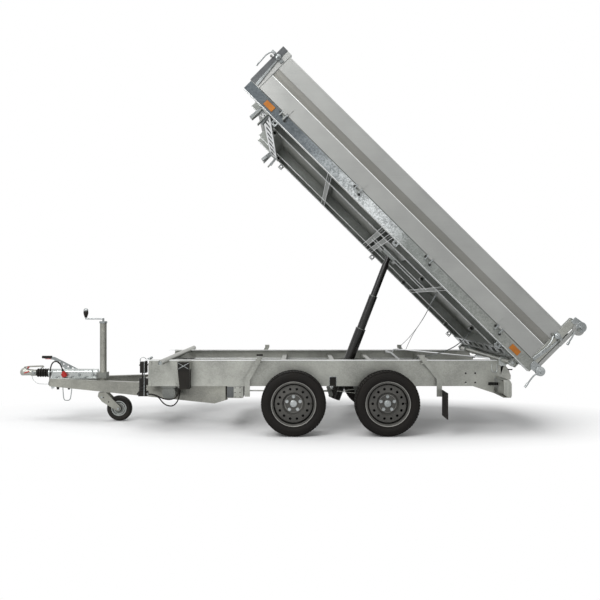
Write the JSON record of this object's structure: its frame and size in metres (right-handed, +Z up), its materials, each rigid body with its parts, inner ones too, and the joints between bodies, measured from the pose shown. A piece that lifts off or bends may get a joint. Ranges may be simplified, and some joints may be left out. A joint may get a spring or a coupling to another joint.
{
  "type": "three-way tipping trailer",
  "caption": "Tandem axle tipping trailer with a drop-side bed tipped to the rear, on its jockey wheel.",
  "frame": {"origin": "on the ground under the middle of the whole length and width", "axes": "+X to the tail, -X to the coupling, +Y to the trailer's right side, +Z up"},
  "size_m": [4.8236, 1.864, 3.1],
  "materials": {
    "galvanised_steel": "hot-dip galvanised, soft spangle",
    "anodised_aluminium": "satin anodised",
    "tyre_rubber": "matt",
    "wheel_paint": "silver paint",
    "black_plastic": "moulded",
    "black_rubber": "matt",
    "cylinder_paint": "satin black",
    "red_plastic": "moulded",
    "amber_lens": "clear moulded",
    "red_lens": "clear moulded"
  },
  "bodies": {
    "root": {"chassis_frame": "galvanised_steel", "tipping_tube_front": "galvanised_steel", "tipping_tube_rear": "galvanised_steel", "drawbar": "galvanised_steel", "draw_tube": "galvanised_steel", "overrun_housing": "galvanised_steel", "coupling_head": "galvanised_steel", "coupling_handle": "galvanised_steel", "handbrake_lever": "galvanised_steel", "jockey_clamp": "galvanised_steel", "jockey_outer_tube": "galvanised_steel", "jockey_crank": "galvanised_steel", "side_covers": "galvanised_steel", "chock_holders": "galvanised_steel", "power_pack": "galvanised_steel", "axle_front": "galvanised_steel", "axle_rear": "galvanised_steel", "guard_stays": "galvanised_steel", "light_beam": "galvanised_steel", "beam_brackets": "galvanised_steel", "breakaway_wire": "galvanised_steel", "wheel_chocks": "black_plastic", "battery_box": "black_plastic", "hand_pump": "black_plastic", "cable_gland": "black_plastic", "bellows": "black_rubber", "mudflaps": "black_rubber", "pump_hose_1": "black_rubber", "pump_hose_2": "black_rubber", "plug_lead": "black_rubber", "parked_plug": "red_plastic", "tail_lamps": "red_lens"},
    "bed": {"bed_frame": "galvanised_steel", "bed_floor": "galvanised_steel", "front_wall": "anodised_aluminium", "rear_posts": "galvanised_steel", "board_hinges": "galvanised_steel", "side_reflectors": "amber_lens", "lashing_eyes": "galvanised_steel"},
    "side_board_left": {"side_board_left": "anodised_aluminium"},
    "side_board_right": {"side_board_right": "anodised_aluminium"},
    "tailgate": {"tailgate": "anodised_aluminium"},
    "cylinder_barrel": {"cylinder_barrel": "cylinder_paint"},
    "cylinder_stage_1": {"cylinder_stage_1": "cylinder_paint"},
    "cylinder_stage_2": {"cylinder_stage_2": "cylinder_paint"},
    "cylinder_stage_3": {"cylinder_stage_3": "cylinder_paint"},
    "jockey_leg": {"jockey_leg": "galvanised_steel"},
    "jockey_fork": {"jockey_fork": "galvanised_steel"},
    "jockey_wheel": {"jockey_wheel": "tyre_rubber"},
    "wheel_front_left": {"tyre_front_left": "tyre_rubber", "rim_front_left": "wheel_paint"},
    "wheel_front_right": {"tyre_front_right": "tyre_rubber", "rim_front_right": "wheel_paint"},
    "wheel_rear_left": {"tyre_rear_left": "tyre_rubber", "rim_rear_left": "wheel_paint"},
    "wheel_rear_right": {"tyre_rear_right": "tyre_rubber", "rim_rear_right": "wheel_paint"}
  },
  "joints": [
    {"name": "bed_tilt", "type": "hinge", "parent": "root", "child": "bed", "pos_m": [1.854, 0, 0.594], "axis": [0, 1, 0], "range_deg": [-44.8, 0]},
    {"name": "side_board_left_drop", "type": "hinge", "parent": "bed", "child": "side_board_left", "pos_m": [0.8742, -0.92, 1.7361], "axis": [0.7096, 0, -0.7046], "range_deg": [0, 180]},
    {"name": "side_board_right_drop", "type": "hinge", "parent": "bed", "child": "side_board_right", "pos_m": [0.8742, 0.92, 1.7361], "axis": [-0.7096, 0, 0.7046], "range_deg": [0, 180]},
    {"name": "tailgate_swing", "type": "hinge", "parent": "bed", "child": "tailgate", "pos_m": [2.35865, 0, 0.86093], "axis": [0, -1, 0], "range_deg": [0, 90]},
    {"name": "cylinder_lean", "type": "hinge", "parent": "root", "child": "cylinder_barrel", "pos_m": [0.587, 0, 0.485], "axis": [0, 1, 0], "range_deg": [-21.96, 0.5]},
    {"name": "cylinder_stage_1_slide", "type": "slide", "parent": "cylinder_barrel", "child": "cylinder_stage_1", "axis": [0.3599, 0, 0.933], "range_m": [-0.31923, 0.001]},
    {"name": "cylinder_stage_2_slide", "type": "slide", "parent": "cylinder_stage_1", "child": "cylinder_stage_2", "axis": [0.3599, 0, 0.933], "range_m": [-0.31923, 0.001]},
    {"name": "cylinder_stage_3_slide", "type": "slide", "parent": "cylinder_stage_2", "child": "cylinder_stage_3", "axis": [0.3599, 0, 0.933], "range_m": [-0.31923, 0.001]},
    {"name": "jockey_leg_slide", "type": "slide", "parent": "root", "child": "jockey_leg", "axis": [0, 0, 1], "range_m": [-0.15, 0.02]},
    {"name": "jockey_swivel", "type": "hinge", "parent": "jockey_leg", "child": "jockey_fork", "pos_m": [-1.626, -0.095, 0.262], "axis": [0, 0, 1], "continuous": true},
    {"name": "jockey_wheel_spin", "type": "hinge", "parent": "jockey_fork", "child": "jockey_wheel", "pos_m": [-1.477, -0.095, 0.115], "axis": [0, 1, 0], "continuous": true},
    {"name": "wheel_front_left_spin", "type": "hinge", "parent": "root", "child": "wheel_front_left", "pos_m": [0.108, -0.7725, 0.2625], "axis": [0, 1, 0], "continuous": true},
    {"name": "wheel_front_right_spin", "type": "hinge", "parent": "root", "child": "wheel_front_right", "pos_m": [0.108, 0.7725, 0.2625], "axis": [0, 1, 0], "continuous": true},
    {"name": "wheel_rear_left_spin", "type": "hinge", "parent": "root", "child": "wheel_rear_left", "pos_m": [0.864, -0.7725, 0.2625], "axis": [0, 1, 0], "continuous": true},
    {"name": "wheel_rear_right_spin", "type": "hinge", "parent": "root", "child": "wheel_rear_right", "pos_m": [0.864, 0.7725, 0.2625], "axis": [0, 1, 0], "continuous": true}
  ],
  "couplings": [
    {"joint": "cylinder_lean", "follows": "bed_tilt", "ratio": 0.4791},
    {"joint": "cylinder_stage_1_slide", "follows": "bed_tilt", "m_per_rad": 0.40699},
    {"joint": "cylinder_stage_2_slide", "follows": "bed_tilt", "m_per_rad": 0.40699},
    {"joint": "cylinder_stage_3_slide", "follows": "bed_tilt", "m_per_rad": 0.40699}
  ]
}
